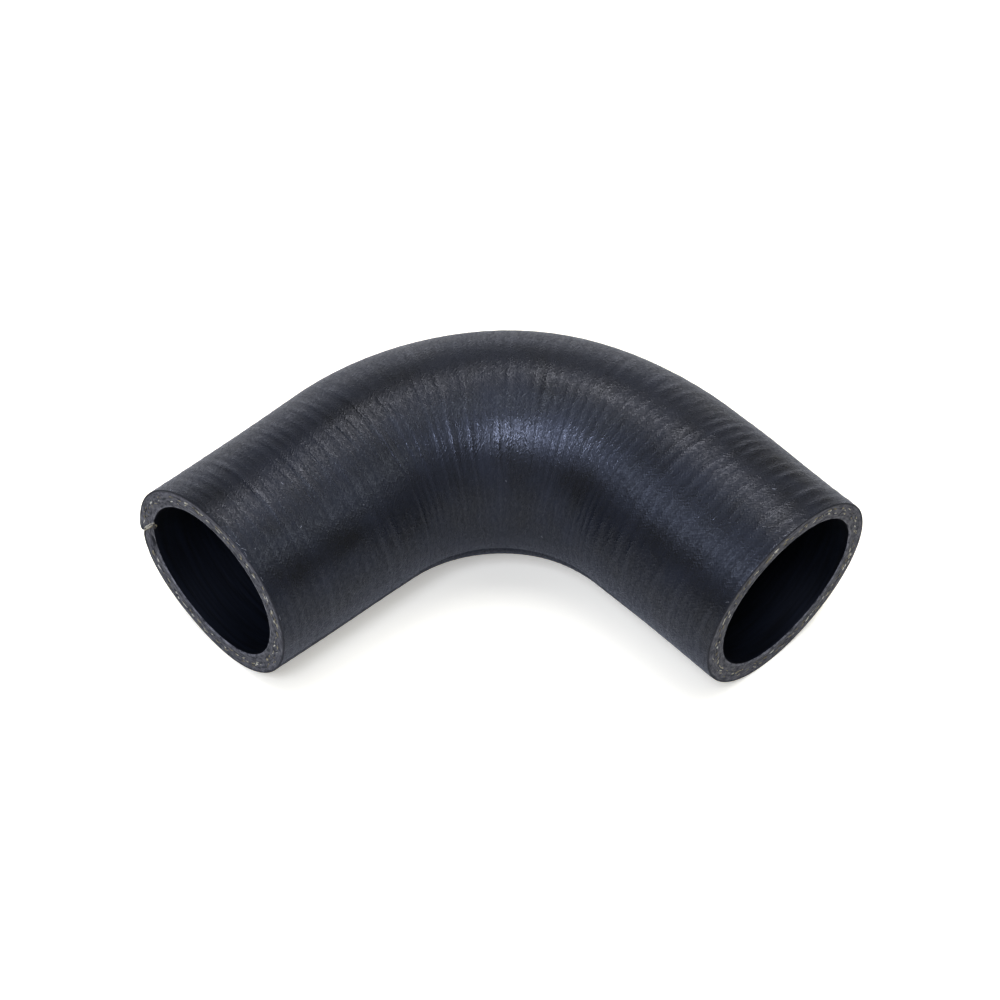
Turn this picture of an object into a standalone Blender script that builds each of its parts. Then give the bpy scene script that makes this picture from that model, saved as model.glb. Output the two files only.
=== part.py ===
"""Water pump hose: a moulded rubber elbow from a car's cooling system.

The real hose is one piece. Rubber and fabric plies are wrapped on a bent mandrel, cured
into a single wall, pulled off over-long and trimmed to length with a knife.

It lies on its side, as it comes to rest. The nicked leg runs along +X and the plain leg
along +Y. The origin is on the floor, under the middle of the bounding box.
"""
import bpy
import bmesh
from math import cos, sin, tan, radians
from mathutils import Matrix, Vector

# Driving sizes, in metres and degrees
BORE = 0.0380                # slips over a 38 mm pipe stub
WALL = 0.0045
BEND_RADIUS = 0.0477         # to the centre line
BEND_ANGLE = 90.0            # turn from one leg to the other
NICKED_LEG = 0.0398          # straight part of the centre line, from the bend to the cut
PLAIN_LEG = 0.0363
SWELL_SIDEWAYS = 0.0010      # how much wider the wall stands each side in mid bend
SWELL_UPRIGHT = 0.0016       # and above and below

# The knife cuts
NICKED_END_SLANT = 2.9       # the nicked leg is longer on the outside of the bend
PLAIN_END_LEAN = 3.3         # the plain leg is longer at its top
TRIM_STOCK = 0.0060          # cured past the end of a square cut, then cut away

# Where the nicked end's two cuts fail to meet. Angles go round the end from the outside
# of the bend, positive upwards.
TEAR_RIM_ANGLE = -4.0        # the tear starts here at the outer rim
TEAR_BORE_ANGLE = 10.0       # and comes out here at the bore
STEP_HEIGHT = 0.0005         # the second cut lies this much deeper beside the tear
STEP_RUN = 0.0210            # and runs out to nothing over this length
NICK_DEPTH = 0.0011          # into the wall, at the outer rim
NICK_WIDTH = 0.0012          # along the rim
NICK_LENGTH = 0.0030         # along the leg

# Fineness of the mesh
RING_FACETS = 48
BEND_STEPS = 24
LEG_STEPS = 6

# Finish
RUBBER_COLOUR = (0.030, 0.032, 0.037, 1.0)
RUBBER_ROUGHNESS = 0.5
SHARP_ANGLE = 40.0           # edges sharper than this stay crisp

# Derived sizes
UP = Vector((0, 0, 1))
OUTER_RADIUS = BORE / 2 + WALL
TURN = radians(BEND_ANGLE)
BEND_LENGTH = BEND_RADIUS * TURN
LENGTH = NICKED_LEG + BEND_LENGTH + PLAIN_LEG
MID_BEND = NICKED_LEG + BEND_LENGTH / 2
BEND_CENTRE = Vector((BEND_RADIUS * tan(TURN / 2), BEND_RADIUS, 0))
STOCK = TRIM_STOCK + OUTER_RADIUS * tan(radians(max(NICKED_END_SLANT, PLAIN_END_LEAN)))
KNIFE_WIDTH = 3 * OUTER_RADIUS
KNIFE_DEPTH = 3 * STOCK


def centre_line(distance):
    """Point of the centre line in plan and its heading, at a distance from the nicked cut."""
    past_leg = distance - NICKED_LEG
    turned = min(max(past_leg / BEND_RADIUS, 0.0), TURN)
    heading = Vector((-cos(turned), sin(turned), 0))
    on_arc = BEND_CENTRE - BEND_RADIUS * Vector((sin(turned), cos(turned), 0))
    straight = past_leg - turned * BEND_RADIUS
    return on_arc + straight * heading, heading


def outside_of_bend(heading):
    """Level direction that points away from the bend's centre."""
    return Vector((-heading.y, heading.x, 0))


def swell(distance):
    """Share of the bend's swell: nothing at the cuts, all of it in mid bend."""
    if distance < MID_BEND:
        share = distance / MID_BEND
    else:
        share = (LENGTH - distance) / (LENGTH - MID_BEND)
    share = min(max(share, 0.0), 1.0)
    return share * share * (3 - 2 * share)


def half_height(distance):
    """Half the height of the hose, which is also how high its centre line lies."""
    return OUTER_RADIUS + SWELL_UPRIGHT * swell(distance)


def skin_point(across, upright, distance):
    """Place a point of the straight tube on the bent and swollen one."""
    point, heading = centre_line(distance)
    wider = 1 + SWELL_SIDEWAYS * swell(distance) / OUTER_RADIUS
    taller = half_height(distance) / OUTER_RADIUS
    height = half_height(distance) + upright * taller
    return point + outside_of_bend(heading) * across * wider + UP * height


def stations():
    """Distances along the centre line where the straight tube gets a ring."""
    in_nicked_leg = [NICKED_LEG * i / LEG_STEPS for i in range(LEG_STEPS)]
    in_bend = [NICKED_LEG + BEND_LENGTH * i / BEND_STEPS for i in range(BEND_STEPS)]
    in_plain_leg = [LENGTH - PLAIN_LEG * i / LEG_STEPS for i in range(LEG_STEPS + 1)]
    return in_nicked_leg + in_bend + in_plain_leg


def outer_skin():
    """Mesh of the over-long outer skin: a straight tube, open at both ends, then bent."""
    bm = bmesh.new()
    bmesh.ops.create_cone(bm, cap_ends=False, segments=RING_FACETS, radius1=OUTER_RADIUS,
                          radius2=OUTER_RADIUS, depth=LENGTH + 2 * STOCK)
    start = LENGTH / 2
    for distance in stations():
        tube = bm.verts[:] + bm.edges[:] + bm.faces[:]
        bmesh.ops.bisect_plane(bm, geom=tube, plane_co=(0, 0, distance - start),
                               plane_no=(0, 0, 1))
    for vert in bm.verts:
        vert.co = skin_point(vert.co.x, vert.co.y, vert.co.z + start)
    mesh = bpy.data.meshes.new("moulded_hose")
    bm.to_mesh(mesh)
    bm.free()
    mesh.shade_smooth()
    mesh.set_sharp_from_angle(angle=radians(SHARP_ANGLE))
    return mesh


def box_from_corner(name, corner, axes, lows, highs):
    """Cutter: a cube laid along three square axes, from lows to highs along each."""
    bpy.ops.mesh.primitive_cube_add(size=1)
    box = bpy.context.object
    box.name = name
    size = [high - low for low, high in zip(lows, highs)]
    middle = [(high + low) / 2 for low, high in zip(lows, highs)]
    turn = Matrix(axes).transposed().to_4x4()
    shape = Matrix.Translation(middle) @ Matrix.Diagonal((*size, 1))
    box.data.transform(Matrix.Translation(corner) @ turn @ shape)
    return box


def end_knife(name, distance, out):
    """Cutter that trims one end square to the direction out."""
    point, heading = centre_line(distance)
    centre = point + UP * half_height(distance)
    side = UP.cross(out).normalized()
    half = KNIFE_WIDTH / 2
    lows = (-half, -half, 0)
    highs = (half, half, KNIFE_DEPTH)
    return box_from_corner(name, centre, (side, out.cross(side), out), lows, highs)


def on_nicked_end(radius, degrees, out):
    """Point of the nicked end's cut face."""
    point, heading = centre_line(0)
    around = outside_of_bend(heading) * cos(radians(degrees)) + UP * sin(radians(degrees))
    square = around * radius
    slip = square.dot(out) / heading.dot(out)
    return point + UP * half_height(0) + square - heading * slip


def second_knife(out):
    """Cutter of the second stroke, deepest along the tear and shallower away from it."""
    rim = on_nicked_end(OUTER_RADIUS, TEAR_RIM_ANGLE, out)
    bore = on_nicked_end(BORE / 2, TEAR_BORE_ANGLE, out)
    tear = bore - rim
    along = tear.normalized()
    away = (along.cross(out) * STEP_RUN + out * STEP_HEIGHT).normalized()
    into = along.cross(away)
    lows = (-2 * WALL, 0, -KNIFE_DEPTH)
    highs = (tear.length + WALL, STEP_RUN + WALL, 0)
    corner = rim - out * STEP_HEIGHT
    return box_from_corner("second_knife", corner, (along, away, into), lows, highs)


def nick_wedge(out):
    """Cutter of the nick: a four-sided point, half its height below the cut face."""
    rim = on_nicked_end(OUTER_RADIUS, TEAR_RIM_ANGLE, out)
    centre = on_nicked_end(0, 0, out)
    inward = (centre - rim).normalized()
    bpy.ops.mesh.primitive_cone_add(vertices=4, radius1=1, radius2=0, depth=2)
    wedge = bpy.context.object
    wedge.name = "nick_wedge"
    along_rim = inward.cross(out)
    turn = Matrix((inward, along_rim, -out)).transposed().to_4x4()
    shape = Matrix.Diagonal((2 * NICK_DEPTH, NICK_WIDTH, NICK_LENGTH, 1))
    wedge.data.transform(Matrix.Translation(rim) @ turn @ shape)
    return wedge


def rubber():
    """Black cured rubber with a satin skin."""
    material = bpy.data.materials.new("rubber")
    material.use_nodes = True
    shader = material.node_tree.nodes["Principled BSDF"]
    shader.inputs["Base Color"].default_value = RUBBER_COLOUR
    shader.inputs["Roughness"].default_value = RUBBER_ROUGHNESS
    shader.inputs["Metallic"].default_value = 0.0
    return material


def add_collection(name):
    collection = bpy.data.collections.new(name)
    bpy.context.scene.collection.children.link(collection)
    return collection


def move_to(obj, collection):
    for old in obj.users_collection:
        old.objects.unlink(obj)
    collection.objects.link(obj)


def cut_with(body, cutter):
    """Take the cutter's shape out of the body, and hide the cutter."""
    cutter.display_type = 'WIRE'
    cutter.hide_render = True
    modifier = body.modifiers.new(cutter.name, 'BOOLEAN')
    modifier.operation = 'DIFFERENCE'
    modifier.solver = 'EXACT'
    modifier.object = cutter


def build():
    for old in list(bpy.data.objects):
        bpy.data.objects.remove(old, do_unlink=True)
    parts = add_collection("water_pump_hose")
    cutters = add_collection("cutters")

    hose = bpy.data.objects.new("moulded_hose", outer_skin())
    parts.objects.link(hose)
    hose.data.materials.append(rubber())
    wall = hose.modifiers.new("wall", 'SOLIDIFY')
    wall.thickness = WALL
    wall.offset = -1
    wall.use_even_offset = True

    slant = radians(NICKED_END_SLANT)
    lean = radians(PLAIN_END_LEAN)
    nicked_heading = centre_line(0)[1]
    plain_heading = centre_line(LENGTH)[1]
    nicked_out = -nicked_heading * cos(slant) - outside_of_bend(nicked_heading) * sin(slant)
    plain_out = plain_heading * cos(lean) - UP * sin(lean)
    tools = [
        end_knife("nicked_end_knife", 0, nicked_out),
        end_knife("plain_end_knife", LENGTH, plain_out),
        second_knife(nicked_out),
        nick_wedge(nicked_out),
    ]
    frame = bpy.data.objects.new("hose_origin", None)
    parts.objects.link(frame)
    hose.parent = frame
    for tool in tools:
        move_to(tool, cutters)
        tool.parent = frame
        cut_with(hose, tool)

    bpy.context.view_layer.update()
    finished = hose.evaluated_get(bpy.context.evaluated_depsgraph_get())
    corners = [Vector(corner) for corner in finished.bound_box]
    low = Vector([min(corner[i] for corner in corners) for i in range(3)])
    high = Vector([max(corner[i] for corner in corners) for i in range(3)])
    frame.location = (-(low.x + high.x) / 2, -(low.y + high.y) / 2, -low.z)


build()
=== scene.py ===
"""Looks of the water pump hose: a moulded rubber elbow from a car's cooling system.

It lies on its side on a white table. The nicked leg runs along +X and the plain leg along +Y,
in metres, with the floor at z = 0.
"""
from math import ceil, cos, pi, radians, sin, tan

import bpy
import numpy as np
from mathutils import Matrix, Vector


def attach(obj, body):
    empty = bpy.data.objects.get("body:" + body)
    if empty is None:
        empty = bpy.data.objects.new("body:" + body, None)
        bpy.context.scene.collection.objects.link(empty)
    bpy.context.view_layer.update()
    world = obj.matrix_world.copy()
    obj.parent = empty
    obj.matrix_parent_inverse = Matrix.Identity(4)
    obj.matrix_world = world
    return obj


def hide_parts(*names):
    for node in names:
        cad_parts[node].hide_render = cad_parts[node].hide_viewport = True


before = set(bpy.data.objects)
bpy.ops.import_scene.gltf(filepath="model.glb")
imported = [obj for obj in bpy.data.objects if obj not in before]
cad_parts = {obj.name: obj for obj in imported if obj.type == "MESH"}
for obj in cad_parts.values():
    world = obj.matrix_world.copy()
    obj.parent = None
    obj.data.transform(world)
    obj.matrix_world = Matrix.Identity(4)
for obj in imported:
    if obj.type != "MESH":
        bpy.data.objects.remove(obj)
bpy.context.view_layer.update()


# The moulded hose. Rubber and two fabric plies are wrapped on a bent mandrel, bound round with
# nylon tape, cured into one wall, pulled off, and cut to length with a knife. The tape leaves
# its weave and its overlapping edges on the skin, and the mandrel leaves the bore smooth.

LEGS_MEET = Vector((-0.032351, -0.030666, 0))   # where the two legs' centre lines would cross
BORE = 0.0380
WALL = 0.0045
BEND_RADIUS = 0.0477           # to the centre line
TURN = pi / 2                  # from one leg to the other
NICKED_LEG = 0.0398            # straight part of the centre line, from the cut to the bend
PLAIN_LEG = 0.0363
SWELL_SIDEWAYS = 0.0010        # how much wider the wall stands each side in mid bend
SWELL_UPRIGHT = 0.0016         # and above and below
NICKED_END_SLANT = radians(2.9)
PLAIN_END_LEAN = radians(3.3)
MM = 0.001

OUTER_RADIUS = BORE / 2 + WALL
BEND_LENGTH = BEND_RADIUS * TURN
LENGTH = NICKED_LEG + BEND_LENGTH + PLAIN_LEG
MID_BEND = NICKED_LEG + BEND_LENGTH / 2


def centre_line(distance):
    """Points of the centre line and its headings, at distances from the nicked cut."""
    past_leg = distance - NICKED_LEG
    turned = np.clip(past_leg / BEND_RADIUS, 0.0, TURN)
    flat = np.zeros_like(turned)
    heading = np.stack([-np.cos(turned), np.sin(turned), flat], -1)
    bend_centre = np.array([BEND_RADIUS * tan(TURN / 2), BEND_RADIUS, 0.0])
    on_arc = bend_centre - BEND_RADIUS * np.stack([np.sin(turned), np.cos(turned), flat], -1)
    straight = past_leg - turned * BEND_RADIUS
    return np.array(LEGS_MEET) + on_arc + straight[..., None] * heading, heading


def eased(share):
    """Share from 0 to 1, with a soft start and end."""
    share = np.clip(share, 0.0, 1.0)
    return share * share * (3 - 2 * share)


def swell(distance):
    """Share of the bend's swell: nothing at the cuts, all of it in mid bend."""
    before = distance / MID_BEND
    after = (LENGTH - distance) / (LENGTH - MID_BEND)
    return eased(np.minimum(before, after))


def along_hose(pair, distance):
    """A size that goes evenly from its value at the nicked end to that at the plain end."""
    share = np.clip(distance / LENGTH, 0.0, 1.0)
    return pair[0] + (pair[1] - pair[0]) * share


# The cure leaves each end slightly out of round, and the bore slightly off centre.
# Each pair is a share of the outer radius, for the nicked end and the plain end.
OVAL_LEAN = (-0.013, 0.008)
THREE_LOBES = (0.011, 0.005)
THREE_LOBES_LEAN = (-0.001, 0.004)
FOUR_LOBES = (0.002, 0.002)
FOUR_LOBES_LEAN = (-0.006, -0.005)
BORE_OUTWARD = (0.004, 0.002)
BORE_UP = (0.011, 0.023)


def out_of_round(angle, distance):
    """How much further out than a circle the hose stands, as a share of its radius."""
    ends = 1 - swell(distance)
    lobes = (along_hose(OVAL_LEAN, distance) * np.sin(2 * angle)
             + along_hose(THREE_LOBES, distance) * np.cos(3 * angle)
             + along_hose(THREE_LOBES_LEAN, distance) * np.sin(3 * angle)
             + along_hose(FOUR_LOBES, distance) * np.cos(4 * angle)
             + along_hose(FOUR_LOBES_LEAN, distance) * np.sin(4 * angle))
    return lobes * ends


# The hose stands fuller on its upper outside in two places, on the plain leg and in the bend next
# to it. Each place is its distance from the plain cut, its reach along the hose and how far it
# stands out, in metres.
FULLER_PLACES = ((0.024, 0.014, 0.00050), (0.062, 0.015, 0.00033))
FULLER_ANGLE = radians(45)
FLATTER = (0.00023, 0.0)      # how much less than round each end stands above and below
PLAIN_END_LONG = 0.0003       # how far the plain leg goes on past its length


def section(angle, distance, inset=0.0):
    """Across and upright of the wall round the centre line, set in from the skin."""
    swollen = swell(distance)
    uneven = 1 + out_of_round(angle, distance)
    round_ring = np.clip(np.cos(angle - FULLER_ANGLE), 0, 1) ** 2
    along = sum(height * np.exp(-((LENGTH - at - distance) / reach) ** 2)
                for at, reach, height in FULLER_PLACES)
    radius = OUTER_RADIUS + round_ring * along
    wide = radius + SWELL_SIDEWAYS * swollen
    tall = radius + SWELL_UPRIGHT * swollen - along_hose(FLATTER, distance) * (1 - swollen)
    return (wide * uneven - inset) * np.cos(angle), (tall * uneven - inset) * np.sin(angle)


def centre_height(distance):
    """How high the centre line lies, so that the hose rests on the table all along."""
    stations = np.linspace(0, LENGTH, 160)
    lowest = section(np.linspace(0, 2 * pi, 360), stations[:, None])[1].min(axis=1)
    return np.interp(distance, stations, -lowest)


def lie(across, upright, distance):
    """Place points of the straight tube on the bent hose that lies on the floor."""
    point, heading = centre_line(distance)
    outward = np.stack([-heading[..., 1], heading[..., 0], 0 * heading[..., 0]], -1)
    placed = point + outward * across[..., None]
    placed[..., 2] = centre_height(distance) + upright
    return placed


# Marks of the curing tape: its edges left low ridges round the hose. Ring angles go round the
# hose in degrees, from the outside of the bend over its top.
LEG_RIDGE_SPACING = 0.0027
BEND_RIDGE_SPACING = 0.0028
FIRST_BEND_RIDGE = NICKED_LEG - 0.004
LAST_BEND_RIDGE = NICKED_LEG + BEND_LENGTH + 0.002
PAST_THE_CUTS = 0.004          # the ridges start and end this far past the cuts
RIDGE_SPACING_VARIES = (0.84, 1.16)
RIDGE_STRENGTH_VARIES = (0.60, 1.15)
BEND_RIDGE_SHARE = 0.75        # strength of the ridges in the bend, as a share of the legs' ridges
RIDGE_FADES = 0.34             # each ridge fades by up to twice this share on its way round
RIDGE_HALF_WIDTHS = (0.22, 0.34)  # before and after the crest, as shares of the spacing
RIDGE_HEIGHT = 0.000115
RIDGE_SLANT = 0.0007
RIDGE_SLANT_ANGLE = radians(150)
RIDGE_WANDER = 0.00030
WAVE_HEIGHT = 0.00007

# Where the ridges' strength changes: the ring angles where a change starts and is complete, and
# its share. The first two count from the outside of the bend both ways.
STRONGER_TOWARDS_OUTSIDE = (110, 70, 0.35)
WEAKER_OUTSIDE = (72, 50, 0.80)
WEAKER_INSIDE_AND_BELOW = (160, 195, 0.60)


def soft_waves(random, angle, distance, count, ring_waves, length):
    """Gentle unevenness from -1 to 1: a few sine waves that close round the hose."""
    total = np.zeros(np.broadcast(angle, distance).shape)
    for _ in range(count):
        turns = random.integers(-ring_waves, ring_waves + 1)
        pitch = length * random.uniform(0.7, 1.6)
        phase = random.uniform(0, 2 * pi)
        total += np.sin(turns * angle + 2 * pi * distance / pitch + phase)
    return total / count ** 0.5


def signed_degrees(angle):
    """Ring angle from -180 to 180, with 0 at the outside of the bend."""
    return (np.degrees(angle) + 180) % 360 - 180


def change(degrees, start, end, share):
    """A share that comes in from one ring angle to another, which may be the smaller one."""
    return share * eased((degrees - start) / (end - start))


def ridge_strength(angle):
    """How strong the ridges are at each ring angle, as a share."""
    outside = np.abs(signed_degrees(angle))
    stronger = change(outside, *STRONGER_TOWARDS_OUTSIDE) - change(outside, *WEAKER_OUTSIDE)
    weaker = change(np.degrees(angle % (2 * pi)), *WEAKER_INSIDE_AND_BELOW)
    return (1 - weaker) * (1 + stronger)


def tape_ridges(random, angle, distance):
    """Low ridges round the hose where the edges of the curing tape lay, from 0 to about 1."""
    slid = distance + RIDGE_SLANT * np.cos(angle - RIDGE_SLANT_ANGLE)
    wander = soft_waves(random, angle, distance, count=5, ring_waves=3, length=0.050)
    slid = slid + RIDGE_WANDER * wander
    height = np.zeros_like(slid)
    at = -PAST_THE_CUTS
    while at < LENGTH + PAST_THE_CUTS:
        in_bend = FIRST_BEND_RIDGE < at < LAST_BEND_RIDGE
        spacing = BEND_RIDGE_SPACING if in_bend else LEG_RIDGE_SPACING
        spacing *= random.uniform(*RIDGE_SPACING_VARIES)
        strength = random.uniform(*RIDGE_STRENGTH_VARIES) * (BEND_RIDGE_SHARE if in_bend else 1.0)
        middle = random.uniform(-pi, pi)
        fade = 1 - RIDGE_FADES * (1 - np.cos(random.integers(1, 4) * angle - middle))
        off = (slid - at) / spacing
        half = np.where(off < 0, *RIDGE_HALF_WIDTHS)
        height += strength * fade * np.exp(-(off / half) ** 2)
        at += spacing
    return height * ridge_strength(angle)


# A strip under the inside of the bend is painted shade: its skin shines much less there, to stand
# in for the reflection of the hose's own shadow on the table beneath it. Its upper edge is sharp,
# runs level, and drops out of sight under the plain leg. It fades downwards.
PAINTED_SHADE_STRIP = (203.5, 238.0)   # ring angles of its upper edge and of where it has faded by half
PAINTED_SHADE_FADE = 0.04              # a share: the lower edge is this much softer than the upper one
PAINTED_SHADE_DROP_AT = 0.1220              # from here on the edge drops, in metres from the nicked cut
PAINTED_SHADE_DROP = 0.0060
PAINTED_SHADE_DROP_RUN = 0.012


def painted_shade_edge(angle, distance):
    """How far inside the edge of the strip of painted shade the skin lies, in mm. Less than 0 is
    outside it.
    """
    round_ring = angle % (2 * pi) * OUTER_RADIUS
    upper, lower = np.radians(PAINTED_SHADE_STRIP) * OUTER_RADIUS
    drop = PAINTED_SHADE_DROP * eased((distance - PAINTED_SHADE_DROP_AT) / PAINTED_SHADE_DROP_RUN)
    return np.minimum(round_ring - upper - drop, (lower - round_ring) * PAINTED_SHADE_FADE) / MM


# Sharp creases round the nicked leg: distance from the cut in mm, and first and last ring angle
CREASES = ((34.2, 95, 109), (25.7, 100, 111), (19.3, 114, 121), (37.0, 95, 104),
           (40.7, 97, 106), (47.1, 100, 108))
CREASE_DEPTH = 0.00006
CREASE_HALF_WIDTH = 0.00010
CREASE_TAPER = 3.2            # how fast a crease runs out from its middle to its ends


def creases(angle, distance):
    """Short sharp creases round the skin, in metres below it."""
    depth = np.zeros(np.broadcast(angle, distance).shape)
    degrees = np.degrees(angle) % 360
    for at_mm, start, end in CREASES:
        across = (distance - at_mm * MM) / CREASE_HALF_WIDTH
        from_middle = np.abs(degrees - (start + end) / 2) / (end - start)
        depth += CREASE_DEPTH * np.exp(-across ** 2) * eased(2 - CREASE_TAPER * from_middle)
    return depth


# The tear, where two strokes of the knife missed each other: a step in the cut, a lip above it,
# a nick in the rim and a pit where a stitch pulled out. All angles are ring angles in degrees.
TEAR_AT_RIM = -4.1
TEAR_AT_BORE = 10.0
TEAR_SPREAD = 26.0            # how far round the rim the mesh leans with the tear
STEP_HEIGHT = 0.0005
STEP_RUN = 0.0080
LIP_HEIGHT = 0.00028          # the upper lip stands this proud of the cut
LIP_RUN = 0.0032
NICK_LENGTH = 0.0030          # along the leg
NICK_FADE = 1.3               # power of how the nick fades along the leg
LIP_LENGTH = 0.0060
LIP_FADE = 2                  # and of how the lip beside it fades
RIM_ANGLES = (-64.0, -38.0, -16.0, -9.1, -6.2, -4.6, -4.2, -4.0, -3.2, -0.9, 4.2, 14.0)
RIM_OUT_MM = (0.0, 0.46, 0.42, -0.06, -0.50, -1.00, -1.13, -0.35, 0.02, 0.28, 0.19, 0.0)
PIT_ANGLE = -15.6
PIT_DEPTH_IN_WALL = 0.0031
PIT_SIZE = (0.0009, 0.00085)  # round the ring and across the wall
PIT_SLANT = 0.5               # how far round the ring it leans, for each step across the wall
PIT_DEPTH = 0.0010


def at_rim(angle, distance):
    """Radial shift of the skin by the nick and the lip beside it, in metres."""
    shift = np.interp(signed_degrees(angle), RIM_ANGLES, RIM_OUT_MM, left=0, right=0) * MM
    into_nick = np.clip(1 - distance / NICK_LENGTH, 0, 1) ** NICK_FADE
    into_lip = np.clip(1 - distance / LIP_LENGTH, 0, 1) ** LIP_FADE
    return np.where(shift < 0, shift * into_nick, shift * into_lip)


def bore_angle(angle):
    """Where a mesh line meets the bore: it leans with the tear, and less away from it."""
    away = np.abs(signed_degrees(angle) - TEAR_AT_RIM) / TEAR_SPREAD
    return angle + radians(TEAR_AT_BORE - TEAR_AT_RIM) * eased(1 - away)


def pit(angle, share):
    """Share of the pit's depth, at shares of the wall in from the skin."""
    across = (share * WALL - PIT_DEPTH_IN_WALL) / PIT_SIZE[1]
    round_ring = radians(1) * (signed_degrees(angle) - PIT_ANGLE) * OUTER_RADIUS / PIT_SIZE[0]
    return np.exp(-(round_ring + PIT_SLANT * across) ** 2 - across ** 2)


def cut_relief(angle, share):
    """How far the nicked cut stands out beside the tear, in metres, at shares of the wall."""
    arc = radians(1) * (signed_degrees(angle) - TEAR_AT_RIM) * OUTER_RADIUS
    step = -STEP_HEIGHT * np.clip(1 + arc / STEP_RUN, 0, 1) * (arc < 0)
    lip = LIP_HEIGHT * np.clip(1 - arc / LIP_RUN, 0, 1) ** 2 * (arc >= 0)
    return step + lip - PIT_DEPTH * pit(angle, share)


def bore_section(angle, distance):
    """Across and upright of the bore, which the mandrel left slightly off centre."""
    across, upright = section(angle, distance, WALL)
    ends = (1 - swell(distance)) * OUTER_RADIUS
    across = across + along_hose(BORE_OUTWARD, distance) * ends
    return across, upright + along_hose(BORE_UP, distance) * ends


def trimmed(across, upright, distance):
    """Distances along the hose once both ends are cut at their angles."""
    near_nicked = np.clip(1 - distance / NICKED_LEG, 0, 1)
    near_plain = np.clip(1 - (LENGTH - distance) / PLAIN_LEG, 0, 1)
    slip = -across * tan(NICKED_END_SLANT) * near_nicked
    lean = (PLAIN_END_LONG + upright * tan(PLAIN_END_LEAN)) * near_plain
    return distance + slip + lean


def on_cut(end, angle, share, proud):
    """Point of a cut face of the straight tube, at a share of the wall in from the skin."""
    distance = np.full(np.broadcast(angle, share).shape, float(end))
    outer = section(angle, distance, -at_rim(angle, distance))
    inner = bore_section(bore_angle(angle) if end == 0 else angle, distance)
    across, upright = [o + share * (i - o) for o, i in zip(outer, inner)]
    outward = -proud if end == 0 else proud
    return across, upright, trimmed(across, upright, distance) + outward


# Fineness of the mesh: steps along the skin, along the bore, across the cuts and round the ring
SKIN_STEP = 0.00034
BORE_STEP = 0.0022
BORE_MOUTH_STEPS = (0.0, 0.08, 0.25, 0.5)       # of the bore's first rings, as shares of a step
FACE_STEP = 0.00032
RING_STEP = 0.00122
TEAR_STEP = 0.00012
STEP_GROWTH = 1.16
OUTER_FILLET = 0.00016
BORE_FILLET = 0.00022
FILLET_TURN = np.radians([22.5, 45.0, 67.5, 90.0])
CREASE_STEPS = np.linspace(-1.5, 1.5, 7) * CREASE_HALF_WIDTH
CUT_WOBBLE = 0.00004
RIDGES_RISE = 0.0015          # they reach their height at this distance from each cut
PRESSED_FLAT = 0.15           # and at this share of the radius above the table
SEED = 38


def ring_angles():
    """Angles of the mesh's lines along the hose, close together at the tear."""
    half = pi * OUTER_RADIUS
    away, at, step = [], 0.0, TEAR_STEP
    while at < half:
        at += step
        step = min(step * STEP_GROWTH, RING_STEP)
        away.append(at)
    away = np.array(away[:-1])
    arc = np.concatenate([-away[::-1], [0.0], away]) / OUTER_RADIUS
    return arc + radians(TEAR_AT_RIM)


def cut_depths():
    """Depths in from the skin of the rings over a cut face, close together at its rims."""
    turned = 1 - np.cos(FILLET_TURN)
    flat = np.linspace(OUTER_FILLET, WALL - BORE_FILLET, ceil(WALL / FACE_STEP))[1:-1]
    return np.concatenate([OUTER_FILLET * turned, flat, WALL - BORE_FILLET * turned[::-1]])


def cut_rings(random, end, angle):
    """Rings over one cut face, from the skin's rim to the bore's, with both rims rounded."""
    depth = cut_depths()
    turned = 1 - np.sin(FILLET_TURN)
    flat = np.zeros(len(depth) - 2 * len(turned))
    back = np.concatenate([OUTER_FILLET * turned, flat, BORE_FILLET * turned[::-1]])
    share = (depth / WALL)[:, None]
    uneven = soft_waves(random, angle, share, count=6, ring_waves=5, length=0.4)
    proud = CUT_WOBBLE * uneven - back[:, None]
    if end == 0:
        proud = proud + cut_relief(angle, share)
    return np.stack(on_cut(end, angle, share, proud))


def skin_rings(random, angle):
    """Rings of the skin from the nicked cut to the plain one, and the strength of its ridges."""
    even = np.linspace(OUTER_FILLET, LENGTH - OUTER_FILLET, ceil(LENGTH / SKIN_STEP))
    at_creases = [at_mm * MM + offset for at_mm, _, _ in CREASES for offset in CREASE_STEPS]
    distance = np.unique(np.concatenate([even, at_creases]))[:, None] + 0 * angle
    waves = soft_waves(random, angle, distance, count=12, ring_waves=4, length=0.045)
    ridges = tape_ridges(random, angle, distance)
    raised = RIDGE_HEIGHT * ridges + WAVE_HEIGHT * waves
    raised *= eased(np.minimum(distance, LENGTH - distance) / RIDGES_RISE)
    raised *= eased((1 + np.sin(angle)) / PRESSED_FLAT)
    raised -= creases(angle, distance)
    across, upright = section(angle, distance, -at_rim(angle, distance) - raised)
    return np.stack([across, upright, trimmed(across, upright, distance)]), ridges


def bore_rings(angle):
    """Rings of the bore from the nicked cut to the plain one, close together at its mouths."""
    deep = np.linspace(BORE_STEP, LENGTH - BORE_STEP, ceil(LENGTH / BORE_STEP))
    near = BORE_FILLET + BORE_STEP * np.array(BORE_MOUTH_STEPS)
    distance = np.concatenate([near, deep, LENGTH - near[::-1]])[:, None] + 0 * angle
    across, upright = bore_section(bore_angle(angle), distance)
    return np.stack([across, upright, trimmed(across, upright, distance)])


def give_points(mesh, name, values, kind='FLOAT', field="value"):
    """Gives each point of the mesh a value of its own, for the materials to read."""
    made = mesh.attributes.new(name, kind, 'POINT')
    made.data.foreach_set(field, values.astype(np.float32).reshape(-1))


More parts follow.
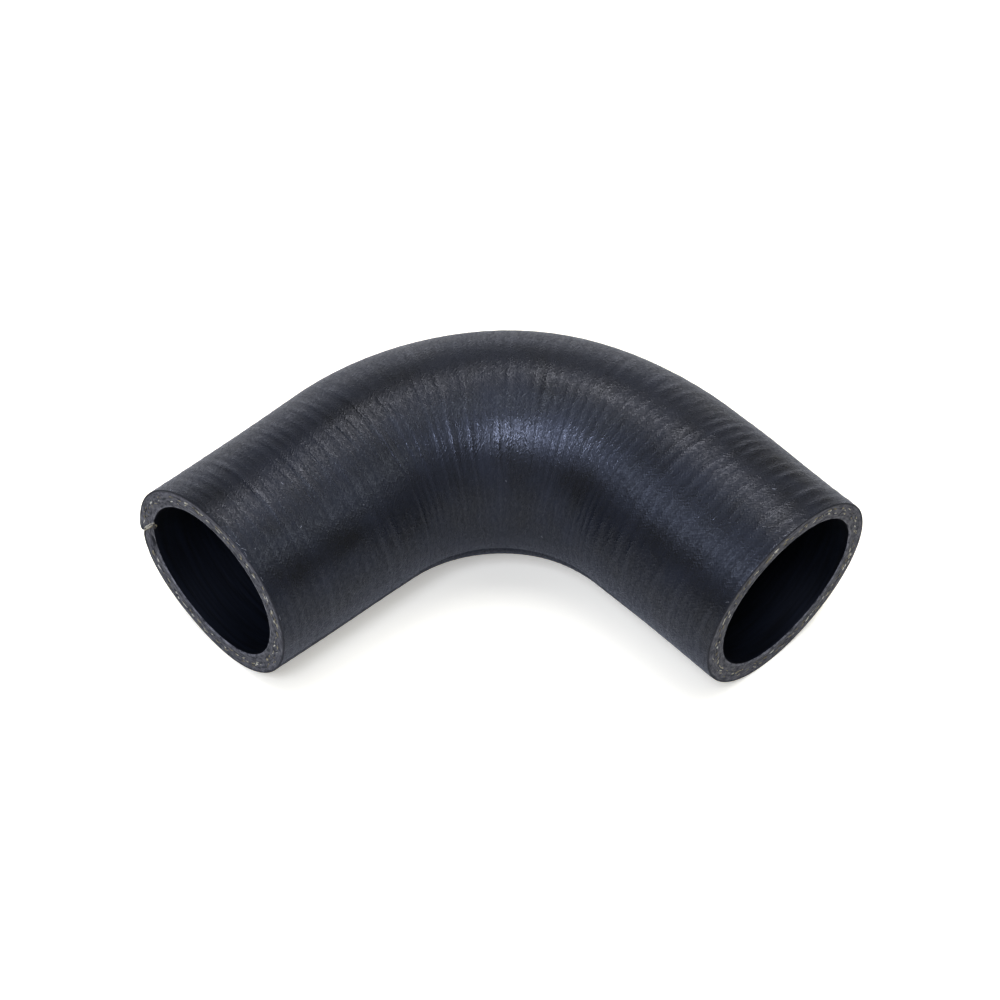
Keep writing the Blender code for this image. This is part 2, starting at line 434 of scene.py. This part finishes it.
def hose_mesh():
    """The whole wall as one closed grid: skin, plain cut, bore and nicked cut."""
    random = np.random.default_rng(SEED)
    angle = ring_angles()[None, :]
    skin, ridges = skin_rings(random, angle)
    bore = bore_rings(angle)
    plain = cut_rings(random, LENGTH, angle)
    nicked = cut_rings(random, 0, angle)
    straight = np.concatenate([skin, plain, bore[:, ::-1], nicked[:, ::-1]], axis=1)
    points = lie(*straight)
    rings, lines = points.shape[:2]
    ring = np.arange(rings)[:, None]
    line = np.arange(lines)[None, :]
    next_ring = (ring + 1) % rings
    next_line = (line + 1) % lines
    quads = np.stack([ring * lines + line, ring * lines + next_line,
                      next_ring * lines + next_line, next_ring * lines + line], -1)
    mesh = bpy.data.meshes.new("hose_wall")
    mesh.from_pydata(points.reshape(-1, 3), [], quads.reshape(-1, 4))

    # The finishes in the order of the materials: skin, knife cut and bore
    skin_rows, cut_rows, bore_rows = skin.shape[1], plain.shape[1], bore.shape[1]
    rim_rows = 1                      # the blade's edge starts just inside the skin's own rim
    finish = np.repeat([0, 1, 2, 1, 0],
                       [skin_rows - 1 + rim_rows, cut_rows + 1 - rim_rows, bore_rows - 1,
                        cut_rows + 1 - rim_rows, rim_rows])
    mesh.polygons.foreach_set("material_index", np.repeat(finish, lines))

    crest = np.zeros((rings, lines))
    crest[:skin_rows] = ridges
    through = cut_depths() / WALL
    in_wall = np.concatenate([np.zeros(skin_rows), through, np.ones(bore_rows), through[::-1]])
    hole = np.zeros((rings, lines))
    hole[-cut_rows:] = pit(angle, through[:, None])[::-1]
    on_straight = np.moveaxis(straight, 0, -1)
    give_points(mesh, "straight_mm", on_straight / MM, 'FLOAT_VECTOR', "vector")
    give_points(mesh, "crest", crest)
    give_points(mesh, "in_wall", np.repeat(in_wall, lines))
    give_points(mesh, "pit", hole)
    # The strip of painted shade under the bend, in mm in from its edge
    give_points(mesh, "painted_shade_mm", painted_shade_edge(angle, on_straight[..., 2]))
    mesh.shade_smooth()
    mesh.validate()
    return mesh


def linear(hex_colour):
    """sRGB hex to the linear colour that a shader wants."""
    channels = [int(hex_colour[i:i + 2], 16) / 255 for i in (1, 3, 5)]
    return [c / 12.92 if c <= 0.04045 else ((c + 0.055) / 1.055) ** 2.4 for c in channels] + [1.0]


def add(tree, kind, sockets=None, **settings):
    """Adds a node, with its settings, and sets or links its sockets. Returns the node."""
    node = tree.nodes.new("ShaderNode" + kind)
    for name, value in settings.items():
        setattr(node, name, value)
    for name, value in (sockets or {}).items():
        if isinstance(value, bpy.types.NodeSocket):
            tree.links.new(value, node.inputs[name])
        else:
            node.inputs[name].default_value = value
    return node


def new_material(name):
    """A material with one Principled shader. Returns it, its node tree and the shader."""
    material = bpy.data.materials.new(name)
    material.use_nodes = True
    return material, material.node_tree, material.node_tree.nodes["Principled BSDF"]


def ramp(tree, value, *stops):
    """Colour that changes with a value. Each stop is a value from 0 to 1 and its sRGB hex."""
    node = add(tree, "ValToRGB", {"Fac": value})
    elements = node.color_ramp.elements
    elements[0].position = stops[0][0]
    elements[1].position = stops[-1][0]
    for position, _ in stops[1:-1]:
        elements.new(position)
    for element, (_, shade) in zip(elements, stops):
        element.color = linear(shade)
    return node.outputs["Color"]


def unrolled(tree):
    """Coordinates in mm on the unrolled hose: round it from its top, and along it."""
    at = add(tree, "Attribute", attribute_name="straight_mm").outputs["Vector"]
    parts = add(tree, "SeparateXYZ", {0: at})
    turned = add(tree, "Math", {0: parts.outputs["X"], 1: parts.outputs["Y"]},
                 operation='ARCTAN2')
    arc = add(tree, "Math", {0: turned.outputs[0], 1: OUTER_RADIUS / MM}, operation='MULTIPLY')
    return add(tree, "CombineXYZ", {"X": arc.outputs[0], "Y": parts.outputs["Z"]}).outputs[0]


def strokes(tree, flat, lean, length, width, seed):
    """Noise drawn out into strokes, leaning in degrees from the ring's direction. Sizes in mm."""
    cosine, sine = cos(radians(lean)), sin(radians(lean))
    along = add(tree, "VectorMath", {0: flat, 1: (cosine / length, sine / length, 0)},
                operation='DOT_PRODUCT')
    across = add(tree, "VectorMath", {0: flat, 1: (-sine / width, cosine / width, 0)},
                 operation='DOT_PRODUCT')
    drawn = add(tree, "CombineXYZ", {"X": along.outputs["Value"], "Y": across.outputs["Value"],
                                     "Z": seed})
    noise = add(tree, "TexNoise", {"Vector": drawn.outputs[0], "Scale": 1.0, "Detail": 1.5})
    return noise.outputs["Fac"]


def weighed_sum(tree, parts):
    """Sum of sockets, each times its weight."""
    total = 0.0
    for socket, weight in parts:
        summed = add(tree, "Math", {0: socket, 1: weight, 2: total}, operation='MULTIPLY_ADD')
        total = summed.outputs[0]
    return total


def cured_epdm_skin():
    """Cured EPDM with a satin skin. The tape's weave gives it a fine glitter of crossing strokes,
    the tape's edges draw lines round it, and bloom and handling leave it cloudy."""
    material, tree, shader = new_material("cured_epdm_skin")
    at = add(tree, "Attribute", attribute_name="straight_mm").outputs["Vector"]
    flat = unrolled(tree)
    # The weave's real threads are 0.2 mm wide. Drawn at 0.4 mm, or they would not show.
    relief = weighed_sum(tree, ((strokes(tree, flat, 48, 1.2, 0.38, 0.0), 1.0),
                                (strokes(tree, flat, -42, 1.0, 0.38, 7.0), 0.8),
                                (strokes(tree, flat, 4, 2.4, 0.42, 13.0), 0.9)))
    bump = add(tree, "Bump", {"Height": relief, "Distance": 0.000065, "Strength": 1.0})
    # Under the weave the skin swells and sinks a little, over some 8 mm
    lumps = add(tree, "TexNoise", {"Vector": at, "Scale": 1 / 8, "Detail": 2.0})
    swellings = add(tree, "Bump", {"Height": lumps.outputs["Fac"], "Distance": 0.00013,
                                   "Strength": 1.0, "Normal": bump.outputs[0]})
    # Bloom and handling: cloudy patches 5 to 15 mm across, a shade greyer and more matt
    clouds = add(tree, "TexNoise", {"Vector": at, "Scale": 1 / 11, "Detail": 5.0, "Roughness": 0.6})
    crest = add(tree, "Attribute", attribute_name="crest").outputs["Fac"]
    worn = weighed_sum(tree, ((clouds.outputs["Fac"], 1.0), (crest, 0.07)))
    # The tape pressed the threads and ridges glossy, and the hollows between them stay matt
    polished = weighed_sum(tree, ((relief, 1.0), (crest, 0.27), (clouds.outputs["Fac"], -0.5)))
    gloss = add(tree, "MapRange", {"Value": polished, "From Min": 0.90, "From Max": 1.50,
                                   "To Min": 0.43, "To Max": 0.21})
    glint = add(tree, "MapRange", {"Value": polished, "From Min": 0.90, "From Max": 1.50,
                                   "To Min": 0.28, "To Max": 0.54})
    # Painted shade: the strip under the inside of the bend shines much less, to stand in for the
    # reflection of the hose's shadow on the table
    under = add(tree, "Attribute", attribute_name="painted_shade_mm").outputs["Fac"]
    painted_shade = add(tree, "MapRange", {"Value": under, "From Min": -0.12, "From Max": 0.12,
                                    "To Min": 1.0, "To Max": 0.10})
    shine = add(tree, "Math", {0: glint.outputs[0], 1: painted_shade.outputs[0]}, operation='MULTIPLY')
    tree.links.new(shine.outputs[0], shader.inputs["Specular IOR Level"])
    tone = ramp(tree, worn, (0.35, "#0e1013"), (0.78, "#20232a"))
    tree.links.new(tone, shader.inputs["Base Color"])
    tree.links.new(gloss.outputs[0], shader.inputs["Roughness"])
    tree.links.new(swellings.outputs[0], shader.inputs["Normal"])
    shader.inputs["IOR"].default_value = 1.5
    return material


def knife_cut_epdm():
    """EPDM as a knife leaves it: a lighter matt grey, with fine drag lines round the wall."""
    material, tree, shader = new_material("knife_cut_epdm")
    at = add(tree, "Attribute", attribute_name="straight_mm").outputs["Vector"]
    on_face = add(tree, "VectorMath", {0: at, 1: (1, 1, 0)}, operation='MULTIPLY')
    radius = add(tree, "VectorMath", {0: on_face.outputs["Vector"]}, operation='LENGTH')
    # Drag lines are 0.2 mm apart. Drawn at 0.5 mm, or they would not show.
    round_ring = add(tree, "SeparateXYZ", {0: unrolled(tree)}).outputs["X"]
    inward = add(tree, "Math", {0: radius.outputs["Value"], 1: 1 / 0.5}, operation='MULTIPLY')
    drawn_out = add(tree, "Math", {0: round_ring, 1: 1 / 3.0}, operation='MULTIPLY')
    lines_at = add(tree, "CombineXYZ", {"X": inward.outputs[0], "Y": drawn_out.outputs[0]})
    lines = add(tree, "TexNoise", {"Vector": lines_at.outputs[0], "Scale": 1.0, "Detail": 3.0})
    grain = add(tree, "TexNoise", {"Vector": at, "Scale": 1 / 0.9, "Detail": 4.0,
                                   "Roughness": 0.75})
    both = weighed_sum(tree, ((lines.outputs["Fac"], 0.55), (grain.outputs["Fac"], 0.45)))
    bump = add(tree, "Bump", {"Height": both, "Distance": 0.00022, "Strength": 1.0})
    tone = ramp(tree, both, (0.40, "#232323"), (0.62, "#8b8885"))
    # The face is drawn darker at its outer rim, and paler at the bore's rim as a painted highlight
    # where that rim catches the light
    in_wall = add(tree, "Attribute", attribute_name="in_wall").outputs["Fac"]
    rims = ramp(tree, in_wall, (0.06, "#3c3c42"), (0.13, "#d2d1d2"), (0.88, "#d0cfcc"),
                (0.94, "#ffffff"), (1.0, "#ffffff"))
    shaded = add(tree, "VectorMath", {0: tone, 1: rims}, operation='MULTIPLY')
    # No light gets down to the bottom of the pit
    hole = add(tree, "Attribute", attribute_name="pit").outputs["Fac"]
    lit = add(tree, "MapRange", {"Value": hole, "From Min": 0.08, "From Max": 0.42,
                                 "To Min": 1.0, "To Max": 0.02})
    in_pit = add(tree, "VectorMath", {0: shaded.outputs["Vector"], "Scale": lit.outputs[0]},
                 operation='SCALE')
    tree.links.new(in_pit.outputs["Vector"], shader.inputs["Base Color"])
    tree.links.new(bump.outputs[0], shader.inputs["Normal"])
    shader.inputs["Roughness"].default_value = 0.7
    shader.inputs["IOR"].default_value = 1.5
    return material


def mandrel_smooth_bore():
    """EPDM that cured against the steel mandrel: near black, with faint lines drawn round it."""
    material, tree, shader = new_material("mandrel_smooth_bore")
    at = add(tree, "Attribute", attribute_name="straight_mm").outputs["Vector"]
    drawn_out = add(tree, "VectorMath", {0: at, 1: (1 / 14, 1 / 14, 1 / 0.9)},
                    operation='MULTIPLY')
    lines = add(tree, "TexNoise", {"Vector": drawn_out.outputs[0], "Scale": 1.0, "Detail": 4.0})
    bump = add(tree, "Bump", {"Height": lines.outputs["Fac"], "Distance": 0.00010,
                              "Strength": 1.0})
    tree.links.new(bump.outputs[0], shader.inputs["Normal"])
    tone = ramp(tree, lines.outputs["Fac"], (0.35, "#040507"), (0.70, "#0b0e14"))
    tree.links.new(tone, shader.inputs["Base Color"])
    shader.inputs["Roughness"].default_value = 0.55
    shader.inputs["IOR"].default_value = 1.5
    shader.inputs["Specular IOR Level"].default_value = 0.14
    return material


hose = bpy.data.objects.new("hose_wall", hose_mesh())
bpy.context.collection.objects.link(hose)
for material in (cured_epdm_skin(), knife_cut_epdm(), mandrel_smooth_bore()):
    hose.data.materials.append(material)
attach(hose, "root")
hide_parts("moulded_hose")


# The plies. Two layers of knitted yarn lie in the wall, and the knife cut through each stitch,
# so their ends show as pale flecks in two rows round both cut faces. Each fleck is a few
# filaments, bonded in the rubber and cut flush with it.

PLY_DEPTHS = (0.00172, 0.00262)
STITCH_SPACING = 0.0026
STITCH_SPACING_VARIES = (0.6, 1.4)
STITCH_STRAYS = 0.00020        # across the wall, off its row
STITCH_LEANS = 0.20            # across the wall, as a share of its length
NOT_SHOWN = 0.12               # share of stitches that the cut does not show
TORN_OFF = (-19, -4)           # ring angles between which the tear took the stitches along
FILAMENTS = (2, 4)             # fewest in a fleck, and one more than the most
FILAMENT_RADIUS = 0.00011
FILAMENT_RADIUS_VARIES = (0.6, 1.15)
FILAMENT_TAPER = np.array([0.5, 1.0, 1.0, 0.5])
FILAMENT_HALF_LENGTH = (0.00028, 0.00080)
STRAYS_ROUND = 0.014           # filaments from the middle of their stitch, in radians
STRAYS_ACROSS = 0.00013
MIDDLE_PROUD = 0.00002         # how far a filament's middle stands out of the cut
TIPS_SUNK = 0.00007            # how much deeper its tips lie
SOAKED = 0.22                  # share of filaments that soaked up rubber and look black
SOAKED_TINT = -0.10
DULLEST = 0.38                 # tint of the dullest clean stitch. The brightest has 1.


def strands(name, paths):
    """Mesh of thin round strands. Each path is its points, its radii and its tint."""
    sides = 6
    points, faces, tints = [], [], []
    for path, radii, tint in paths:
        path = np.asarray(path)
        heading = np.gradient(path, axis=0)
        heading /= np.linalg.norm(heading, axis=1)[:, None] + 1e-12
        helper = np.eye(3)[np.abs(heading.mean(0)).argmin()]
        side = np.cross(heading, helper)
        side /= np.linalg.norm(side, axis=1)[:, None]
        other = np.cross(heading, side)
        turn = np.arange(sides) * 2 * pi / sides
        ring = side[:, None] * np.cos(turn)[:, None] + other[:, None] * np.sin(turn)[:, None]
        start = len(points)
        points.extend((path[:, None] + ring * np.asarray(radii)[:, None, None]).reshape(-1, 3))
        tints.extend([tint] * (len(path) * sides))
        for i in range(len(path) - 1):
            for j in range(sides):
                here, after = start + i * sides, start + (i + 1) * sides
                k = (j + 1) % sides
                faces.append((here + j, here + k, after + k, after + j))
        last = start + (len(path) - 1) * sides
        faces.append(tuple(start + j for j in reversed(range(sides))))
        faces.append(tuple(last + j for j in range(sides)))
    mesh = bpy.data.meshes.new(name)
    mesh.from_pydata(points, [], faces)
    mesh.attributes.new("tint", 'FLOAT', 'POINT')
    mesh.attributes["tint"].data.foreach_set("value", np.array(tints, np.float32))
    mesh.shade_smooth()
    made = bpy.data.objects.new(name, mesh)
    bpy.context.collection.objects.link(made)
    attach(made, "root")
    return made


def ply_yarn():
    """Undyed polyester yarn: cream where it is clean, olive to brown where rubber soaked in."""
    material, tree, shader = new_material("ply_yarn")
    tint = add(tree, "Attribute", attribute_name="tint").outputs["Fac"]
    at = add(tree, "TexCoord").outputs["Object"]
    # Filaments are some 0.02 mm thick. Drawn at 0.12 mm, or they would not show.
    fibre = add(tree, "TexNoise", {"Vector": at, "Scale": 1 / 0.00012, "Detail": 2.0})
    mixed = weighed_sum(tree, ((tint, 1.0), (fibre.outputs["Fac"], 0.3)))
    tone = ramp(tree, mixed, (0.10, "#161512"), (0.35, "#4a402c"), (0.62, "#93865c"),
                (1.0, "#e6dfc2"))
    tree.links.new(tone, shader.inputs["Base Color"])
    shader.inputs["Roughness"].default_value = 0.65
    shader.inputs["IOR"].default_value = 1.57
    return material


def ply_flecks():
    """Paths of the cut filaments, two rows of flecks on each cut face."""
    random = np.random.default_rng(11)
    paths = []
    for end in (0, LENGTH):
        for row in PLY_DEPTHS:
            angle = random.uniform(0, 0.1)
            while angle < 2 * pi:
                angle += STITCH_SPACING * random.uniform(*STITCH_SPACING_VARIES) / OUTER_RADIUS
                torn_off = end == 0 and TORN_OFF[0] < signed_degrees(angle) < TORN_OFF[1]
                if random.random() < NOT_SHOWN or torn_off:
                    continue
                bright = DULLEST + (1 - DULLEST) * random.random() ** 1.3
                depth = row + random.normal(0, STITCH_STRAYS)
                lean = random.normal(0, STITCH_LEANS)
                for _ in range(random.integers(*FILAMENTS)):
                    half = random.uniform(*FILAMENT_HALF_LENGTH)
                    middle = angle + random.normal(0, STRAYS_ROUND)
                    inward = depth + random.normal(0, STRAYS_ACROSS)
                    along = np.linspace(-1, 1, 4)
                    share = (inward + along * half * lean) / WALL
                    round_ring = middle + along * half / OUTER_RADIUS
                    proud = MIDDLE_PROUD - TIPS_SUNK * along ** 2
                    path = lie(*on_cut(end, round_ring, share, proud))
                    radius = FILAMENT_RADIUS * random.uniform(*FILAMENT_RADIUS_VARIES)
                    radii = FILAMENT_TAPER * radius
                    soaked = random.random() < SOAKED
                    tint = SOAKED_TINT if soaked else bright * random.uniform(0.6, 1.05)
                    paths.append((path, radii, tint))
    return paths


yarn = ply_yarn()
flecks = strands("ply_yarn_ends", ply_flecks())
flecks.data.materials.append(yarn)


# The torn ply. Where the two knife strokes missed each other the last bit of wall was pulled
# off. It bared a wedge of knitted yarn from the nick to the bore, and left a tuft in the bore.

# Edges of the bared wedge: share of the wall, lower angle and upper angle in degrees
WEDGE = ((0.05, -5.5, -4.3), (0.35, -6.2, -4.0), (0.65, -6.1, -3.3), (0.85, -5.6, -2.4),
         (1.02, -4.6, -1.6))
WEDGE_LOW = -0.00040           # how far its lower edge stands out of the cut
WEDGE_HIGH = 0.00020           # and its upper edge
BARED_YARNS = 110
YARN_RADIUS = (0.00008, 0.00012)
YARN_TAPER = np.array([0.4, 0.9, 1, 1, 1, 0.9, 0.4])
CLEANEST = 0.80                # tint of the cleanest yarns
CLEANEST_ACROSS = 0.60         # where they lie across the wedge
CLEANEST_FROM = 0.42           # and from which share of the wall inwards
SOILED_ACROSS = 0.40           # how fast the tint falls off across the wedge
SOILED_OUTWARD = 1.20          # and towards the skin
TUFT_LOOPS = 16
TUFT_FROM = 0.94               # share of the wall where the loops leave the wedge
TUFT_SUNK = 0.0001             # how far under the cut they leave it
TUFT_RADIUS = 0.00009
TUFT_TAPER = np.array([0.7, 1, 1, 1, 0.95, 0.9, 0.8, 0.6, 0.35])


def wedge_point(share, over, lift):
    """Point of the bared wedge: along it, across it from 0 to 1, and lifted off it."""
    shares, lows, highs = zip(*WEDGE)
    low = np.interp(share, shares, lows)
    high = np.interp(share, shares, highs)
    angle = np.radians(low + (high - low) * over)
    level = WEDGE_LOW + (WEDGE_HIGH - WEDGE_LOW) * over
    return on_cut(0, angle, share, level + lift)


def bared_yarn():
    """Paths of the yarns in the wedge, and of the tuft that hangs in the bore."""
    random = np.random.default_rng(7)
    paths = []
    for _ in range(BARED_YARNS):
        over = random.uniform(-0.1, 1.0)
        first = random.uniform(0.02, 0.70)
        last = min(first + random.uniform(0.20, 0.55), 1.04)
        share = np.linspace(first, last, 7)
        sway = over + random.uniform(-0.15, 0.20) * np.linspace(-0.5, 0.5, 7)
        lift = random.uniform(-0.00003, 0.00010) + 0.00004 * np.sin(np.linspace(0, pi, 7))
        path = lie(*wedge_point(share, sway, lift))
        middle = (first + last) / 2
        clean = CLEANEST - SOILED_ACROSS * abs(over - CLEANEST_ACROSS)
        clean -= SOILED_OUTWARD * max(0.0, CLEANEST_FROM - middle)
        radii = random.uniform(*YARN_RADIUS) * YARN_TAPER
        paths.append((path, radii, clean + random.uniform(-0.16, 0.12)))
    # The tuft: short loops of soaked yarn that leave the wedge and curl into the bore. The few
    # that reach furthest in are cleaner.
    for _ in range(TUFT_LOOPS):
        reach = random.uniform(1.05, 1.25)
        start, tip = random.uniform(-9.0, -5.0), random.uniform(-10.0, -6.5)
        sink = random.uniform(0.0, 0.0004)
        along = np.linspace(0, 1, 9)
        share = TUFT_FROM + (reach - TUFT_FROM) * np.sin(along * pi / 2)
        angle = np.radians(start + (tip - start) * along ** 1.4)
        path = lie(*on_cut(0, angle, share, -TUFT_SUNK - sink * along))
        tint = random.uniform(-0.02, 0.16) if reach < 1.22 else 0.46
        paths.append((path, TUFT_RADIUS * TUFT_TAPER, tint))
    return paths


torn = strands("torn_ply", bared_yarn())
torn.data.materials.append(yarn)


# Loose fibres and lint. The knife drew a few filaments out over the rims, and the skin picked
# up specks of pale dust and lint in handling. They only cling to the rubber.

FIBRES_PER_END = 12
FIBRE_ROOT = 0.0003            # how far in from the cut a fibre starts
FIBRE_SUNK = 0.00005           # and how deep in the skin
FIBRE_LENGTH = (0.0005, 0.0011)
FIBRE_RADIUS = 0.00003
FIBRE_TAPER = np.array([1, 1, 1, 0.9, 0.8, 0.5])
SPECK_RADIUS = 0.00005
SPECK_TAPER = np.array([0.5, 1, 1, 0.5])
SPECK_ARCH = 0.2               # as a share of its length
SPECK_LIFT = 0.00004
SMALL_SPECKS = 16
SMALL_SPECK_LENGTH = (0.00015, 0.0005)

# Specks that stand out: distance from the nicked cut in mm, ring angle, and length in mm
SPECKS = ((93.2, 184.5, 0.7), (141.1, 83.2, 0.9), (16.7, 104.2, 0.8), (2.8, 123.8, 0.6),
          (3.6, 126.0, 0.8), (13.7, 127.5, 0.6), (55.6, 144.0, 1.0))
SPECK_TINT = 0.75


def on_skin(angle, distance, lift):
    """Point of the straight tube on the skin, lifted off it a little."""
    across, upright = section(angle, distance, -lift)
    return across, upright, trimmed(across, upright, distance)


def loose_fibres():
    """Paths of the filaments at both rims, and of the specks of lint on the skin."""
    random = np.random.default_rng(23)
    paths = []
    for end, out in ((0, -1), (LENGTH, 1)):
        for _ in range(FIBRES_PER_END):
            angle = random.uniform(radians(35), radians(165))
            length = random.uniform(*FIBRE_LENGTH)
            along = np.linspace(0, 1, 6)
            bend = random.uniform(-0.6, 0.6)
            sideways = along * random.uniform(-1, 1) + bend * along ** 2
            round_rim = angle + sideways * length / OUTER_RADIUS
            distance = end + out * (along * length * random.uniform(-0.7, 0.4) - FIBRE_ROOT)
            lift = along * length * random.uniform(0.15, 0.7) - FIBRE_SUNK
            path = lie(*on_skin(round_rim, distance, lift))
            paths.append((path, FIBRE_RADIUS * FIBRE_TAPER, random.uniform(0.5, 0.9)))
    specks = [(at * MM, radians(angle), size * MM, SPECK_TINT) for at, angle, size in SPECKS]
    for _ in range(SMALL_SPECKS):
        at = random.uniform(0.002, LENGTH - 0.002)
        angle = random.uniform(radians(20), radians(200))
        size = random.uniform(*SMALL_SPECK_LENGTH)
        specks.append((at, angle, size, random.uniform(0.3, 0.6)))
    for at, angle, size, tint in specks:
        lean = random.uniform(0, pi)
        along = np.linspace(-0.5, 0.5, 4)
        arch = SPECK_ARCH * (1 - (2 * along) ** 2)
        round_hose = angle + (along * cos(lean) + arch * sin(lean)) * size / OUTER_RADIUS
        distance = at + (along * sin(lean) - arch * cos(lean)) * size
        path = lie(*on_skin(round_hose, distance, SPECK_LIFT))
        paths.append((path, SPECK_RADIUS * SPECK_TAPER, tint))
    return paths


def cotton_lint():
    """Cotton lint and dust: matt, and a pale grey that is nearly neutral."""
    material, tree, shader = new_material("cotton_lint")
    tint = add(tree, "Attribute", attribute_name="tint").outputs["Fac"]
    tone = ramp(tree, tint, (0.0, "#2c2c2e"), (1.0, "#c9c8c4"))
    tree.links.new(tone, shader.inputs["Base Color"])
    shader.inputs["Roughness"].default_value = 0.8
    shader.inputs["IOR"].default_value = 1.5
    return material


lint = strands("loose_fibres", loose_fibres())
lint.data.materials.append(cotton_lint())


# The table: two white sheets, one on the other. The background of such a photo is whitened once
# it is taken. So the sheet that the camera sees glows a little and has a lamp of its own, and the
# plain sheet under it throws light on the hose.

TOP_SHEET_SIZE = 1.8
PLAIN_SHEET_SIZE = 3.0
SHEET_GAP = 0.0002


def white_laminate(name, colour, glow):
    """Matt white laminate, which shows only soft shadows."""
    material, _, shader = new_material(name)
    shader.inputs["Base Color"].default_value = linear(colour)
    shader.inputs["Roughness"].default_value = 0.8
    shader.inputs["Emission Color"].default_value = linear("#ffffff")
    shader.inputs["Emission Strength"].default_value = glow
    return material


def sheet(name, size, height, material):
    """A square sheet that lies flat at its height, of the studio and not of the part."""
    bpy.ops.mesh.primitive_plane_add(size=size, location=(0, 0, height))
    made = bpy.context.object
    made.name = name
    made.data.materials.append(material)
    return made


table = sheet("table", TOP_SHEET_SIZE, 0, white_laminate("whitened_laminate", "#fbefcc", 0.37))
table.visible_diffuse = False
table.visible_glossy = False
table.visible_shadow = False
plain_table = sheet("plain_table", PLAIN_SHEET_SIZE, -SHEET_GAP,
                    white_laminate("white_laminate", "#dcd8cc", 0.0))
plain_table.visible_camera = False


# The cove behind the table: white seamless paper all round, so bright that it shows no shade.
# Only the camera sees it, so it lights nothing.

COVE_RADIUS = 5.0


def overexposed_paper():
    """Seamless paper far into overexposure: one even white, from every side."""
    material, _, shader = new_material("overexposed_paper")
    shader.inputs["Base Color"].default_value = linear("#000000")
    shader.inputs["Specular IOR Level"].default_value = 0.0
    shader.inputs["Emission Color"].default_value = linear("#ffffff")
    shader.inputs["Emission Strength"].default_value = 1.0
    return material


bpy.ops.mesh.primitive_uv_sphere_add(segments=48, ring_count=24, radius=COVE_RADIUS)
cove = bpy.context.object
cove.name = "cove"
cove.data.materials.append(overexposed_paper())
cove.visible_diffuse = False
cove.visible_glossy = False
cove.visible_transmission = False
cove.visible_shadow = False


# The camera stands above the open side of the bend and looks down on it, from less than half a
# metre away.

AIM = Vector((-0.0058, -0.0068, 0.0235))
AZIMUTH = radians(137.78)
ELEVATION = radians(47.78)
DISTANCE = 0.470
LENS = 77.2
FORWARD = Vector((-sin(AZIMUTH), cos(AZIMUTH), 0))
RIGHT = Vector((cos(AZIMUTH), sin(AZIMUTH), 0))

camera = bpy.data.objects.new("camera", bpy.data.cameras.new("camera"))
bpy.context.collection.objects.link(camera)
camera.data.lens = LENS
camera.data.sensor_width = 36.0
to_camera = -FORWARD * cos(ELEVATION) + Vector((0, 0, sin(ELEVATION)))
camera.location = AIM + to_camera * DISTANCE
camera.rotation_mode = 'QUATERNION'
camera.rotation_quaternion = (-to_camera).to_track_quat('-Z', 'Y')
bpy.context.scene.camera = camera


# The studio light: soft boxes round a white table, and a dim room beyond. The key box hangs
# behind and above the camera, a little to its left, and the others fill in from all sides.

def soft_box(name, bearing, height, distance, size, strength, colour):
    """A rectangular soft light. Its bearing goes round from straight ahead of the camera to its
    right, and its height is above the floor, both in degrees."""
    lamp = bpy.data.lights.new(name, 'AREA')
    lamp.shape = 'RECTANGLE'
    lamp.size = size[0]
    lamp.size_y = size[1]
    lamp.energy = strength * size[0] * size[1] * pi
    lamp.color = linear(colour)[:3]
    light = bpy.data.objects.new(name, lamp)
    bpy.context.collection.objects.link(light)
    level = FORWARD * cos(radians(bearing)) + RIGHT * sin(radians(bearing))
    direction = level * cos(radians(height)) + Vector((0, 0, sin(radians(height))))
    light.location = AIM + direction * distance
    light.rotation_mode = 'QUATERNION'
    light.rotation_quaternion = direction.to_track_quat('Z', 'Y')
    return light


soft_box("key_box", -165, 54, 1.2, (0.30, 0.30), 33.0, "#c9d6ff")
soft_box("top_box", 180, 87, 1.2, (0.36, 0.36), 5.0, "#dbe6ff")
soft_box("back_box", 14, 62, 1.2, (0.62, 0.26), 5.8, "#eff1ff")
soft_box("back_right_box", 60, 60, 1.2, (0.6, 0.36), 0.8, "#eeeeff")
soft_box("left_box", -100, 46, 1.2, (0.9, 0.5), 2.4, "#cbd9ff")
soft_box("right_box", 100, 46, 1.2, (0.9, 0.5), 1.75, "#e0eaff")
soft_box("front_box", 180, 15, 1.2, (1.4, 0.4), 0.6, "#d2dbff")
soft_box("far_box", -8, 8, 1.2, (1.5, 0.34), 1.12, "#e4eaff")
soft_box("far_high_box", 0, 30, 1.2, (1.4, 0.3), 0.5, "#d2deff")

# The background's own lamp lights only the sheet that the camera sees
whitener = soft_box("background_lamp", 4, 80, 1.0, (1.6, 0.9), 2.9, "#d4ddff")
only_the_table = bpy.data.collections.new("only_the_table")
only_the_table.objects.link(table)
whitener.light_linking.receiver_collection = only_the_table

# The dim room: weak warm light from all sides
world = bpy.data.worlds.new("dim_room")
world.use_nodes = True
room = world.node_tree.nodes["Background"]
room.inputs["Color"].default_value = linear("#fff6e0")
room.inputs["Strength"].default_value = 0.17
bpy.context.scene.world = world
bpy.context.scene.view_settings.view_transform = 'Standard'
